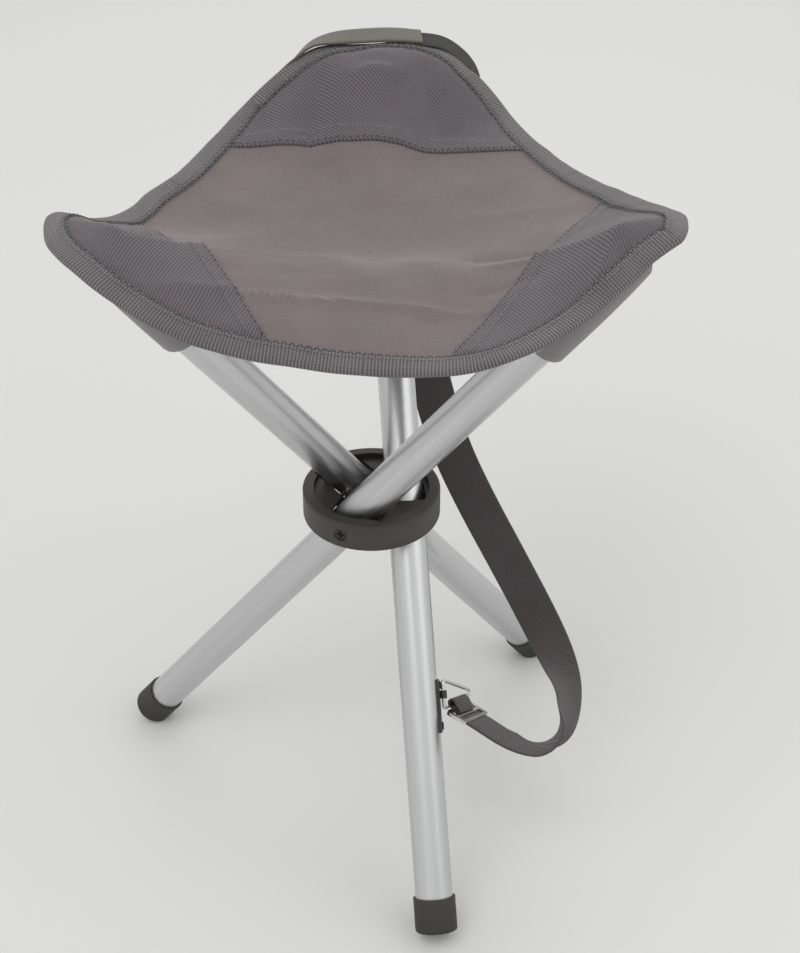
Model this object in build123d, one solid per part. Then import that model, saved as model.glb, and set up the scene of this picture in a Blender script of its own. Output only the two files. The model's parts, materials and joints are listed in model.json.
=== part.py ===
from build123d import *
from math import atan2, cos, degrees, hypot, radians, sin, sqrt, tan
import os

# Folding tripod camping stool, in millimetres, +Z up.
# Origin: on the hub's axis, on the ground under the feet.
# Three straight tubular legs cross in a round hub, each leaning round the hub
# the same way, and a fabric seat hangs between their upper ends.
# Leg a is pinned at azimuth 0 (+X), leg b at -120 and leg c at +120 degrees.

# ---------------------------------------------------------------- dimensions
TUBE_R = 11.0
TUBE_WALL = 1.3
LEAN = 36.9                 # leg against the vertical, open, in degrees
LEG_OFFSET = 19.6           # leg axis from the hub's axis
PIVOT_SHIFT = -2.0          # pivot screw from the radial line, along the lean
PIVOT_Z = 210.2
TUBE_TOP = 249.0            # along the leg from the pivot
PLUG_TOP = 252.0
CAP_RIM = 234.4             # below the pivot, along the leg
CAP_LENGTH = 20.1
CAP_R = 12.4
CAP_FLOOR = 3.0
CAP_EDGE = 2.0
PLUG_LONG = 12.0            # of the plug inside the tube
PLUG_EDGE = 1.5

HUB_R = 40.5
HUB_HEIGHT = 18.3
HUB_EDGE = 1.6
HUB_DISH_R = 34.0
HUB_LOWER_DISH_R = 28.0
HUB_DISH_DEPTH = 3.0
SLOT_HALF = 11.6            # half the slot's clear width across the leg
SLOT_IN = 8.0               # slot from the hub's axis, radially
SLOT_OUT = 31.2
SCREW_R = 2.5
SCREW_HEAD_R = 4.0
SCREW_HEAD_DEPTH = 2.6
SCREW_TIP = 3.5             # inner end of the pivot screw, from the hub's axis
SCREW_PLAY = 0.05
SCREW_SUNK = 0.8            # head below the rim
RECESS_LONG = 4.6
RECESS_WIDE = 1.1
RECESS_DEPTH = 1.3
CLOSING_SCREW_R = 1.5
CLOSING_HEAD_R = 2.8
CLOSING_HEAD_DEPTH = 2.0
CLOSING_HEAD_SUNK = 0.4
CLOSING_SCREW_RING = 34.0
CLOSING_SCREW_TOP = 5.5     # above the parting plane

SEAT_TIP_R = 169.0          # seat outline at a corner
SEAT_MID_R = 136.0          # and half-way between corners
SEAT_ROUND = 45.0           # degrees over which the outline swells to a corner
SEAT_MID_Z = 381.0
SEAT_TIP_Z = 421.0
SEAT_CENTRE_Z = 368.0
DISH_POWER = 2.2            # how late the dish rises towards its edge
EDGE_POWER = 1.84           # and the edge towards a corner
SEAT_THICK = 2.0
BINDING_WIDTH = 11.0
BINDING_THICK = 3.6
HEM_AT = 101.0              # seam of a corner panel, along its leg, from the axis
TENT_GAP = 22.2             # seat above a leg's axis, where it lies on the leg
TENT_TOP_Z = 422.6
TENT_ROUND = 12.0           # the ridge over a leg, and how steeply its sides fall
TENT_SLOPE = 0.8
TENT_BLEND = 3.0
TENT_FROM = 60.0            # along the lean, where a tube first nears the seat
POCKET_IN_R = 11.4
POCKET_OUT_R = 13.2
POCKET_FROM = 184.0
POCKET_TO = 249.0

WEBBING_WIDTH = 25.0
WEBBING_THICK = 1.6
TIE_WIDTH = 20.0
TIE_ACROSS = (0.05, 0.5, -0.86)
STRAP_STEPS = 60

BRACKET_AT = -123.5         # along leg a from the pivot
BRACKET_LONG = 31.0
BRACKET_WIDE = 12.0
BRACKET_THICK = 1.2
RIVET_R = 1.4
RIVET_HEAD_R = 2.4
RIVET_HEAD_THICK = 0.7
RIVET_PITCH = 24.0
RIVET_INSIDE = 0.6          # shank past the tube's wall
EYE_FROM_AXIS = 14.1        # the eye's middle from the leg's axis
EYE_OUT_R = 2.2
EYE_IN_R = 1.1
EYE_LONG = 4.6
RING_AT = -117.2            # middle of the ring's side in the eye
WIRE_R = 1.0
RING_BEND = 1.6
RING_HALF = 8.5             # half of the ring's side in the eye
RING_REACH = (21.0, 20.5, -1.8)         # its far corner from the eye
LOOP_OUT_R = 2.4
LOOP_IN_R = 1.3
LOOP_LONG = 17.0
LOOP_SHIFT = 0.8
SLIDER_LONG = 30.0
SLIDER_WIDE = 14.0
SLIDER_GAP = 3.3            # between the slider's frame and the free strap's end
SLIDER_THICK = 2.0
SLIDER_BAR = 2.4
SLIDER_SLOPE = (0.71, -0.69, -0.13)     # from the ring to the strap
SLIDER_ACROSS = (0.60, 0.67, -0.43)     # along the slider's bars

LEGS = {"a": 0.0, "b": -120.0, "c": 120.0}
UP = Vector(0, 0, 1)
CORNER_REACH = 44           # degrees from a corner over which its panel runs

# Rays of the seat's mesh, in degrees from each corner, closer over the leg.
RAYS = [-52, -44, -37, -30, -22, -15, -10, -7, -4.5, -2, 0,
        2, 4.5, 8, 13, 19, 25, 31, 37, 44, 52, 60]
RINGS = [0.25, 0.5, 0.75, 0.9, 1.0]
PANEL_RINGS = [0.0, 0.2, 0.4, 0.6, 0.75, 0.86, 1.0]

# The carrying strap's route and the direction of its width, from under the
# seat's back corner round the right of the hub to the slider on leg a.
STRAP_ROUTE = [
    ((30, 157, 391), (0.99, -0.02, 0.15)),
    ((31, 140, 345), (0.98, 0.0, 0.2)),
    ((35, 112, 297), (0.98, 0.02, 0.2)),
    ((43.5, 79, 248), (0.97, 0.04, 0.23)),
    ((54.5, 61, 205), (0.93, 0.12, 0.34)),
    ((70, 45, 171), (0.9, 0.17, 0.4)),
    ((90, 31, 132), (0.89, 0.18, 0.41)),
    ((106, 13, 102), (0.88, 0.2, 0.42)),
    ((116, -14, 86), (0.82, 0.4, 0.05)),
    ((118, -42, 79.5), (0.59, 0.67, -0.45)),
    ((109, -70, 77.5), (0.5, 0.75, -0.43)),
    ((91, -88, 82), (0.5, 0.74, -0.45)),
    ((72, -93, 92.5), (0.56, 0.7, -0.44)),
    ((55.4, -81.8, 100.6), (0.60, 0.67, -0.43)),
]
# The tie strap's two webbings, from either side of the back corner.
TIE_LOOP = [(-33, 168, 405), (-23, 175, 417), (-4, 179, 425),
            (20, 181, 429), (44, 180, 428), (52, 179, 426)]
TIE_HOOK = [(53.6, 178.6, 425.0), (62, 176, 420), (72, 170, 410), (80, 160, 400)]


# ------------------------------------------------------------------- helpers
def place(azimuth, outward, along, height):
    """A point given by its distances along a leg's pivot axis, along its lean and up."""
    a = radians(azimuth)
    return Vector(outward * cos(a) - along * sin(a),
                  outward * sin(a) + along * cos(a), height)


def leg_point(azimuth, length):
    """The point of a leg's axis at this length from its pivot, up the leg."""
    t = radians(LEAN)
    return place(azimuth, LEG_OFFSET, PIVOT_SHIFT + length * sin(t),
                 PIVOT_Z + length * cos(t))


def leg_plane(azimuth, length):
    """A plane square to the leg, with its normal up the leg and its x outward."""
    a = radians(azimuth)
    up_leg = (leg_point(azimuth, 1) - leg_point(azimuth, 0)).normalized()
    return Plane(origin=leg_point(azimuth, length), x_dir=(cos(a), sin(a), 0), z_dir=up_leg)


def rod(plane, radius, length):
    """A cylinder that starts on the plane and runs along its normal."""
    return plane * Cylinder(radius, length, align=(Align.CENTER, Align.CENTER, Align.MIN))


def end_circle(solid, point):
    """The circular edge whose centre is nearest to this point."""
    circles = solid.edges().filter_by(GeomType.CIRCLE)
    return min(circles, key=lambda edge: (edge.arc_center - point).length)


def smooth(t):
    t = min(max(t, 0.0), 1.0)
    return t * t * (3 - 2 * t)


def smooth_max(a, b, blend):
    return 0.5 * (a + b + sqrt((a - b) ** 2 + blend ** 2))


def outline_radius(from_mid):
    """The seat's outline, by the angle from the middle of a side."""
    swell = smooth(abs(from_mid) / SEAT_ROUND)
    return SEAT_MID_R + (SEAT_TIP_R - SEAT_MID_R) * swell


def edge_height(from_mid):
    return SEAT_MID_Z + (SEAT_TIP_Z - SEAT_MID_Z) * (abs(from_mid) / 60) ** EDGE_POWER


def corner_azimuth(azimuth):
    tip = leg_point(azimuth, TUBE_TOP)
    return degrees(atan2(tip.Y, tip.X))


def angle_from_mid(x, y):
    """Degrees from the middle of the nearest side of the seat."""
    turn = degrees(atan2(y, x)) - corner_azimuth(0.0)
    return abs((turn + 60) % 120 - 60) - 60


def seat_height(x, y):
    """A hanging dish, held up in a ridge where it lies on each leg."""
    mid = angle_from_mid(x, y)
    share = hypot(x, y) / outline_radius(mid)
    height = SEAT_CENTRE_Z + (edge_height(mid) - SEAT_CENTRE_Z) * share ** DISH_POWER
    for azimuth in LEGS.values():
        a = radians(azimuth)
        aside = x * cos(a) + y * sin(a) - LEG_OFFSET
        along = -x * sin(a) + y * cos(a)
        if along > TENT_FROM:
            axis = PIVOT_Z + (along - PIVOT_SHIFT) / tan(radians(LEAN))
            ridge = min(axis + TENT_GAP, TENT_TOP_Z)
            drop = TENT_SLOPE * (hypot(aside, TENT_ROUND) - TENT_ROUND)
            height = smooth_max(height, ridge - drop, TENT_BLEND)
    return height


def seat_point(azimuth, radius):
    x = radius * cos(radians(azimuth))
    y = radius * sin(radians(azimuth))
    return (x, y, seat_height(x, y))


def slab(triangles, above, below):
    """A closed solid between a surface of triangles raised and lowered."""
    def key(p):
        return (round(p[0], 4), round(p[1], 4))

    def lifted(p, by):
        return Vector(p[0], p[1], p[2] + by)

    kept = [t for t in triangles if len({key(p) for p in t}) == 3]
    faces = []
    edges = {}
    for a, b, c in kept:
        faces.append(Face(Wire.make_polygon([lifted(p, above) for p in (a, b, c)])))
        faces.append(Face(Wire.make_polygon([lifted(p, -below) for p in (a, c, b)])))
        for p, q in ((a, b), (b, c), (c, a)):
            if (key(q), key(p)) in edges:
                del edges[(key(q), key(p))]
            else:
                edges[(key(p), key(q))] = (p, q)
    for p, q in edges.values():
        wall = [lifted(p, above), lifted(p, -below), lifted(q, -below), lifted(q, above)]
        faces.append(Face(Wire.make_polygon(wall)))
    return Solid(Shell(faces))


def strip_triangles(inner, outer):
    """Triangles of the band between two rows of as many points."""
    found = []
    for a, b, c, d in zip(inner[:-1], inner[1:], outer[:-1], outer[1:]):
        found.append((a, c, b))
        found.append((b, c, d))
    return found


def ribbon(centres, widths, width, thick):
    """A flat webbing through these centres, its width along these directions."""
    rows = []
    for i, centre in enumerate(centres):
        before = centres[max(i - 1, 0)]
        after = centres[min(i + 1, len(centres) - 1)]
        along = (after - before).normalized()
        across = (widths[i] - along * widths[i].dot(along)).normalized()
        normal = along.cross(across)
        half = across * (width / 2)
        lift = normal * (thick / 2)
        rows.append([centre - half - lift, centre + half - lift,
                     centre + half + lift, centre - half + lift])
    faces = [Face(Wire.make_polygon(rows[0])), Face(Wire.make_polygon(rows[-1][::-1]))]
    for low, high in zip(rows[:-1], rows[1:]):
        for k in range(4):
            n = (k + 1) % 4
            # opposite sides are split along the same diagonal, which keeps the thickness
            if k < 2:
                split = [[low[k], high[k], high[n]], [low[k], high[n], low[n]]]
            else:
                split = [[low[k], high[k], low[n]], [high[k], high[n], low[n]]]
            faces += [Face(Wire.make_polygon(triangle)) for triangle in split]
    return Solid(Shell(faces))


# ----------------------------------------------------------------------- hub
def slot(azimuth):
    """The opening that lets a leg swing from its lean to upright."""
    t = radians(LEAN)
    c = SLOT_HALF
    high = HUB_HEIGHT / 2 + 1
    corner = c * (1 - cos(t)) / sin(t)
    reach = (c + high * sin(t)) / cos(t)
    points = [(c, -corner), (c, -high), (-reach, -high), (-c, corner), (-c, high), (reach, high)]
    a = radians(azimuth)
    face_plane = Plane(origin=place(azimuth, SLOT_IN, PIVOT_SHIFT, PIVOT_Z),
                       x_dir=(-sin(a), cos(a), 0), z_dir=(cos(a), sin(a), 0))
    outline = Polyline(*points, close=True)
    return extrude(face_plane * make_face(outline), SLOT_OUT - SLOT_IN)


def pivot_plane(azimuth, outward):
    a = radians(azimuth)
    return Plane(origin=place(azimuth, outward, PIVOT_SHIFT, PIVOT_Z),
                 x_dir=(-sin(a), cos(a), 0), z_dir=(cos(a), sin(a), 0))


def pivot_screw(azimuth):
    """Screw from the rim through the leg into the hub's middle web."""
    head_from = HUB_R - SCREW_HEAD_DEPTH - SCREW_SUNK
    body = rod(pivot_plane(azimuth, SCREW_TIP), SCREW_R, head_from - SCREW_TIP)
    body += rod(pivot_plane(azimuth, head_from), SCREW_HEAD_R, SCREW_HEAD_DEPTH)
    recess = pivot_plane(azimuth, HUB_R - SCREW_SUNK)
    for turn in (0, 90):
        body -= recess * Rot(0, 0, turn) * Box(RECESS_LONG, RECESS_WIDE, 2 * RECESS_DEPTH)
    return body


def screw_space(azimuth):
    head_from = HUB_R - SCREW_HEAD_DEPTH - SCREW_SUNK
    return (rod(pivot_plane(azimuth, SCREW_TIP), SCREW_R, HUB_R)
            + rod(pivot_plane(azimuth, head_from), SCREW_HEAD_R, HUB_R))


def closing_place(azimuth):
    return place(azimuth + 60, CLOSING_SCREW_RING, 0, PIVOT_Z)


def closing_screw(azimuth):
    length = HUB_HEIGHT / 2 - CLOSING_HEAD_SUNK
    foot = closing_place(azimuth) - UP * length
    head = rod(Plane(foot), CLOSING_HEAD_R, CLOSING_HEAD_DEPTH)
    shank = rod(Plane(foot), CLOSING_SCREW_R, length + CLOSING_SCREW_TOP)
    return head + shank


def hub_half(side):
    """The upper half for side 1 and the lower half for side -1."""
    middle = Plane((0, 0, PIVOT_Z), z_dir=(0, 0, side))
    half = rod(middle, HUB_R, HUB_HEIGHT / 2)
    half = fillet(end_circle(half, Vector(0, 0, PIVOT_Z + side * HUB_HEIGHT / 2)), HUB_EDGE)
    dish = Plane((0, 0, PIVOT_Z + side * (HUB_HEIGHT / 2 - HUB_DISH_DEPTH)), z_dir=(0, 0, side))
    half -= rod(dish, HUB_DISH_R if side > 0 else HUB_LOWER_DISH_R, HUB_HEIGHT)
    for azimuth in LEGS.values():
        half -= slot(azimuth)
        half -= screw_space(azimuth)
        bottom = closing_place(azimuth) - UP * HUB_HEIGHT
        half -= rod(Plane(bottom), CLOSING_SCREW_R, HUB_HEIGHT + CLOSING_SCREW_TOP)
        if side < 0:
            sunk = HUB_HEIGHT / 2 + CLOSING_HEAD_SUNK + CLOSING_HEAD_DEPTH
            half -= rod(Plane(bottom), CLOSING_HEAD_R, sunk)
    return half


# ---------------------------------------------------------------------- legs
def leg_tube(name, azimuth):
    low = -(CAP_RIM + CAP_LENGTH - CAP_FLOOR)
    tube = rod(leg_plane(azimuth, low), TUBE_R, TUBE_TOP - low)
    tube -= rod(leg_plane(azimuth, low - 1), TUBE_R - TUBE_WALL, TUBE_TOP - low + 2)
    tube -= rod(pivot_plane(azimuth, 0), SCREW_R + SCREW_PLAY, HUB_R)
    if name == "a":
        for plane in rivet_planes():
            tube -= rod(plane, RIVET_R, 2 * TUBE_R)
    return tube


def foot_cap(azimuth):
    low = -(CAP_RIM + CAP_LENGTH)
    cap = rod(leg_plane(azimuth, low), CAP_R, CAP_LENGTH)
    cap = fillet(end_circle(cap, leg_point(azimuth, low)), CAP_EDGE)
    return cap - rod(leg_plane(azimuth, low + CAP_FLOOR), TUBE_R, CAP_LENGTH)


def tube_plug(azimuth):
    plug = rod(leg_plane(azimuth, TUBE_TOP), TUBE_R, PLUG_TOP - TUBE_TOP)
    plug = fillet(end_circle(plug, leg_point(azimuth, PLUG_TOP)), PLUG_EDGE)
    return plug + rod(leg_plane(azimuth, TUBE_TOP - PLUG_LONG), TUBE_R - TUBE_WALL, PLUG_LONG)


# ---------------------------------------------------------------------- seat
def ray_azimuths():
    """Every ray of the seat's mesh, from corner a round by +Y first."""
    found = []
    for azimuth in (0.0, 120.0, 240.0):
        found += [corner_azimuth(azimuth) + ray for ray in RAYS]
    return found


def hem_radius(azimuth):
    """How far the main panel runs on this ray: to a hem or to the binding."""
    x = cos(radians(azimuth))
    y = sin(radians(azimuth))
    limit = outline_radius(angle_from_mid(x, y)) - BINDING_WIDTH
    for leg in LEGS.values():
        along = -x * sin(radians(leg)) + y * cos(radians(leg))
        if along > 0.6:
            limit = min(limit, HEM_AT / along)
    return limit


def panel_limit(azimuth):
    x = cos(radians(azimuth))
    y = sin(radians(azimuth))
    return outline_radius(angle_from_mid(x, y)) - BINDING_WIDTH


def seat_panel():
    rays = ray_azimuths()
    rays.append(rays[0])
    centre = (0.0, 0.0, seat_height(0.0, 0.0))
    rings = [[seat_point(a, hem_radius(a) * share) for a in rays] for share in RINGS]
    triangles = [(centre, p, q) for p, q in zip(rings[0][:-1], rings[0][1:])]
    for inner, outer in zip(rings[:-1], rings[1:]):
        triangles += strip_triangles(inner, outer)
    return slab(triangles, 0.0, SEAT_THICK)


def corner_panel(azimuth):
    """The stronger fabric sewn on at a corner, from its hem to the binding."""
    rays = [corner_azimuth(azimuth) + ray for ray in RAYS if abs(ray) <= CORNER_REACH]
    rings = []
    for share in PANEL_RINGS:
        ring = []
        for a in rays:
            start = hem_radius(a)
            ring.append(seat_point(a, start + share * (panel_limit(a) - start)))
        rings.append(ring)
    triangles = []
    for inner, outer in zip(rings[:-1], rings[1:]):
        triangles += strip_triangles(inner, outer)
    return slab(triangles, 0.0, SEAT_THICK)


def edge_binding(azimuth):
    """The tape round one side, from this corner to the next one anticlockwise."""
    start = corner_azimuth(azimuth)
    rays = [start + r for r in RAYS if r >= 0] + [start + 120 + r for r in RAYS if r <= 0]
    inner = [seat_point(a, panel_limit(a)) for a in rays]
    outer = [seat_point(a, panel_limit(a) + BINDING_WIDTH) for a in rays]
    rise = (BINDING_THICK - SEAT_THICK) / 2
    return slab(strip_triangles(inner, outer), rise, SEAT_THICK + rise)


def corner_pocket(azimuth):
    """The lower half of the pocket that holds the leg's upper end."""
    long = POCKET_TO - POCKET_FROM
    base = leg_plane(azimuth, POCKET_FROM)
    sleeve = rod(base, POCKET_OUT_R, long) - rod(base, POCKET_IN_R, long)
    # In this plane +x is outward and +y is the leg's underside.
    lower = base * Pos(0, POCKET_OUT_R, long / 2) * Box(4 * POCKET_OUT_R, 2 * POCKET_OUT_R, 2 * long)
    return sleeve & lower


# ------------------------------------------------------- straps and hardware
def tie_strap(points):
    centres = [Vector(*p) for p in points]
    widths = [Vector(*TIE_ACROSS)] * len(centres)
    return ribbon(centres, widths, TIE_WIDTH, WEBBING_THICK)


def route_radii(points):
    """Each corner's arc, as large as its two runs allow."""
    radii = []
    for a, b, c in zip(points[:-2], points[1:-1], points[2:]):
        turn = (b - a).get_angle(c - b)
        shorter = min((b - a).length, (c - b).length)
        radii.append(0.45 * shorter / tan(radians(turn / 2)))
    return radii


def carry_strap():
    points = [Vector(*p) for p, _ in STRAP_ROUTE]
    radii = route_radii(points)
    path = FilletPolyline(*points, radius=radii)
    print("carry strap: length", round(path.length, 1), "radii", [round(r) for r in radii])
    reach = [0.0]
    for p, q in zip(points[:-1], points[1:]):
        reach.append(reach[-1] + (q - p).length)
    centres = []
    widths = []
    for i in range(STRAP_STEPS + 1):
        share = i / STRAP_STEPS
        centres.append(path @ share)
        at = share * reach[-1]
        k = max(j for j in range(len(points) - 1) if reach[j] <= at + 1e-9)
        part = (at - reach[k]) / (reach[k + 1] - reach[k])
        before = Vector(*STRAP_ROUTE[k][1])
        after = Vector(*STRAP_ROUTE[k + 1][1])
        widths.append((before * (1 - part) + after * part).normalized())
    strap = ribbon(centres, widths, WEBBING_WIDTH, WEBBING_THICK)
    expected = WEBBING_WIDTH * WEBBING_THICK * path.length
    print("carry strap: volume", round(strap.volume), "of", round(expected))
    return strap


def rivet_planes():
    """Where the bracket's rivets leave the middle of leg a, outward."""
    planes = []
    for shift in (-RIVET_PITCH / 2, RIVET_PITCH / 2):
        planes.append(Plane(origin=leg_point(0, BRACKET_AT + shift),
                            x_dir=(0, 1, 0), z_dir=(1, 0, 0)))
    return planes


def eye_rod(radius, length):
    """A cylinder along the eye, which lies along the leg, from the ring's middle."""
    base = leg_plane(0, RING_AT - length / 2)
    return rod(base * Pos(EYE_FROM_AXIS, 0, 0), radius, length)


def strap_bracket():
    """A plate bent to the tube, with an eye for the ring."""
    base = leg_plane(0, BRACKET_AT - BRACKET_LONG / 2)
    plate = rod(base, TUBE_R + BRACKET_THICK, BRACKET_LONG) - rod(base, TUBE_R, BRACKET_LONG)
    plate &= base * Pos(TUBE_R, 0, BRACKET_LONG / 2) * Box(2 * TUBE_R, BRACKET_WIDE, BRACKET_LONG)
    plate += eye_rod(EYE_OUT_R, EYE_LONG)
    plate -= eye_rod(EYE_IN_R, EYE_LONG + 2)
    for plane in rivet_planes():
        plate -= rod(plane, RIVET_R, 2 * TUBE_R)
    return plate


def bracket_rivet(plane):
    """Shank through the tube's wall and the plate, with a low head outside."""
    start = TUBE_R - TUBE_WALL - RIVET_INSIDE
    shank = rod(plane * Pos(0, 0, start), RIVET_R, BRACKET_THICK + TUBE_WALL + RIVET_INSIDE)
    head = rod(plane * Pos(0, 0, TUBE_R + BRACKET_THICK), RIVET_HEAD_R, RIVET_HEAD_THICK)
    return shank + head


def ring_corners():
    """The wire triangle's corners: two in line with the eye and one out at the strap."""
    base = leg_plane(0, RING_AT)
    out, aside, low = RING_REACH
    corners = [(EYE_FROM_AXIS, 0, RING_HALF), (EYE_FROM_AXIS, 0, -RING_HALF),
               (EYE_FROM_AXIS + out, aside, low)]
    return [base.from_local_coords(Vector(*c)) for c in corners]


def strap_ring():
    """A wire triangle: one side turns in the bracket's eye, one holds the strap."""
    path = FilletPolyline(*ring_corners(), radius=RING_BEND, close=True)
    section = Plane(origin=path @ 0, z_dir=path % 0) * Circle(WIRE_R)
    return sweep(section, path=path)


def strap_loop():
    """The strap's end, sewn back on itself round the ring's lower side."""
    _, low, far = ring_corners()
    along = (far - low).normalized()
    start = (low + far) * 0.5 - along * (LOOP_LONG / 2 + LOOP_SHIFT)
    plane = Plane(origin=start, z_dir=along)
    return rod(plane, LOOP_OUT_R, LOOP_LONG) - rod(plane, LOOP_IN_R, LOOP_LONG)


def strap_slider():
    """A frame with a bar across its middle, which locks the strap."""
    along = Vector(*SLIDER_SLOPE).normalized()
    across = Vector(*SLIDER_ACROSS)
    across = (across - along * across.dot(along)).normalized()
    origin = Vector(*STRAP_ROUTE[-1][0]) - along * (SLIDER_WIDE / 2 + SLIDER_GAP)
    plane = Plane(origin=origin, x_dir=across, z_dir=across.cross(along))
    frame = Box(SLIDER_LONG, SLIDER_WIDE, SLIDER_THICK)
    frame = fillet(frame.edges().filter_by(Axis.Z), SLIDER_BAR)
    space = (SLIDER_WIDE - 3 * SLIDER_BAR) / 2
    for side in (-1, 1):
        window = Box(SLIDER_LONG - 2 * SLIDER_BAR, space, SLIDER_THICK * 2)
        frame -= Pos(0, side * (space + SLIDER_BAR) / 2, 0) * window
    return plane * frame


# --------------------------------------------------------------------- build
def main():
    parts = {
        "hub_upper_half": hub_half(1),
        "hub_lower_half": hub_half(-1),
        "seat_panel": seat_panel(),
        "edge_binding_ac": edge_binding(0.0),
        "edge_binding_cb": edge_binding(120.0),
        "edge_binding_ba": edge_binding(240.0),
        "tie_strap_loop_side": tie_strap(TIE_LOOP),
        "tie_strap_hook_side": tie_strap(TIE_HOOK),
        "carry_strap": carry_strap(),
        "strap_bracket": strap_bracket(),
        "strap_ring": strap_ring(),
        "strap_loop": strap_loop(),
        "strap_slider": strap_slider(),
    }
    for place_name, plane in zip(("lower", "upper"), rivet_planes()):
        parts[f"bracket_rivet_{place_name}"] = bracket_rivet(plane)
    for name, azimuth in LEGS.items():
        parts[f"pivot_screw_{name}"] = pivot_screw(azimuth)
        parts[f"hub_closing_screw_{name}"] = closing_screw(azimuth)
        parts[f"leg_tube_{name}"] = leg_tube(name, azimuth)
        parts[f"foot_cap_{name}"] = foot_cap(azimuth)
        parts[f"tube_plug_{name}"] = tube_plug(azimuth)
        parts[f"corner_panel_{name}"] = corner_panel(azimuth)
        parts[f"corner_pocket_{name}"] = corner_pocket(azimuth)
    os.makedirs("parts", exist_ok=True)
    for name, shape in parts.items():
        export_step(shape, f"parts/{name}.step")


main()
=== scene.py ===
import bpy
import json
import math
import numpy as np
from mathutils import Matrix, Vector, noise


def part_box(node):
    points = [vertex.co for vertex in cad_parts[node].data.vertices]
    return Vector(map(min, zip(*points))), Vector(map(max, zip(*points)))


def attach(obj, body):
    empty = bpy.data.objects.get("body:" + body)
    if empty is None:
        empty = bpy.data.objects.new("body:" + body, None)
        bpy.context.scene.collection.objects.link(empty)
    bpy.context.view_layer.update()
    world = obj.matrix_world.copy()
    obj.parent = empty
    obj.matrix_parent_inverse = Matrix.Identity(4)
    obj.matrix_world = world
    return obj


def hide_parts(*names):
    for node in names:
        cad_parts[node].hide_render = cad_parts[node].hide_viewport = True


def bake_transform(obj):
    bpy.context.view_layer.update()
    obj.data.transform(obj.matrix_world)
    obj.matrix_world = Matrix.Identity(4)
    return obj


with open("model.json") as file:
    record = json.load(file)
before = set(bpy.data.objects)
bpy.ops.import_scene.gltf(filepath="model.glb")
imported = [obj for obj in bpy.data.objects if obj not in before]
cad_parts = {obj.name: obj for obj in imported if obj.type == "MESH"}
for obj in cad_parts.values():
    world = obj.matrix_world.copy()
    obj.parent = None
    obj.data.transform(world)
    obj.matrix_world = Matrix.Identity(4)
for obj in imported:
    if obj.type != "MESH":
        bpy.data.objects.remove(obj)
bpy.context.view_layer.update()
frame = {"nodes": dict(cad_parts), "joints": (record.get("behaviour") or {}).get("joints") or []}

# Folding three-leg camping stool, in metres, +Z up. The origin is on the ground under the hub.
# Three tubes cross in the hub, and a fabric seat hangs between their upper ends.

# ---------------------------------------------------------------- the frame's facts
LETTERS = ("a", "b", "c")
PIVOT = {}
LEAN = math.radians(frame["joints"][0]["range_deg"][1])
for found in frame["joints"]:
    PIVOT[found["child"][-1]] = Vector(found["pos_m"])
TUBE_RADIUS = 0.011
TUBE_END = 0.252            # along the leg, from its pivot to the plug's top
TURN = {"a": 0.0, "b": -120.0, "c": 120.0}


def leg_direction(letter):
    a = math.radians(TURN[letter])
    return Vector((-math.sin(a) * math.sin(LEAN), math.cos(a) * math.sin(LEAN), math.cos(LEAN)))


def leg_point(letter, length):
    """A point of the leg's axis, this far up the leg from its pivot."""
    return PIVOT[letter] + leg_direction(letter) * length


def corner_angle(letter):
    """Azimuth of the seat's corner over this leg, in radians."""
    tip = leg_point(letter, TUBE_END)
    return math.atan2(tip.y, tip.x)


def flat_direction(angle):
    return Vector((math.cos(angle), math.sin(angle), 0.0))


# ---------------------------------------------------------------- camera
CAMERA_AZIMUTH = -7.2       # degrees; 0 looks along +Y
CAMERA_ELEVATION = 34.9
CAMERA_DISTANCE = 1.0179
CAMERA_LENS = 65.7
CAMERA_ROLL = 0.14
CAMERA_TARGET = Vector((0.0166, -0.0021, 0.2258))


def make_camera():
    data = bpy.data.cameras.new("camera")
    data.sensor_fit = "VERTICAL"
    data.sensor_height = 36.0
    data.lens = CAMERA_LENS
    data.dof.use_dof = False
    data.clip_start = 0.01
    camera = bpy.data.objects.new("camera", data)
    bpy.context.scene.collection.objects.link(camera)
    a = math.radians(CAMERA_AZIMUTH)
    e = math.radians(CAMERA_ELEVATION)
    ahead = Vector((-math.sin(a) * math.cos(e), math.cos(a) * math.cos(e), -math.sin(e)))
    turned = ahead.to_track_quat("-Z", "Y").to_matrix().to_4x4()
    roll = Matrix.Rotation(math.radians(CAMERA_ROLL), 4, "Z")
    camera.matrix_world = Matrix.Translation(CAMERA_TARGET - ahead * CAMERA_DISTANCE) @ turned @ roll
    bpy.context.scene.camera = camera


make_camera()

# ---------------------------------------------------------------- routes of the webbings
WEBBING_WIDTH = 0.025
WEBBING_THICK = 0.0015
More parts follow.
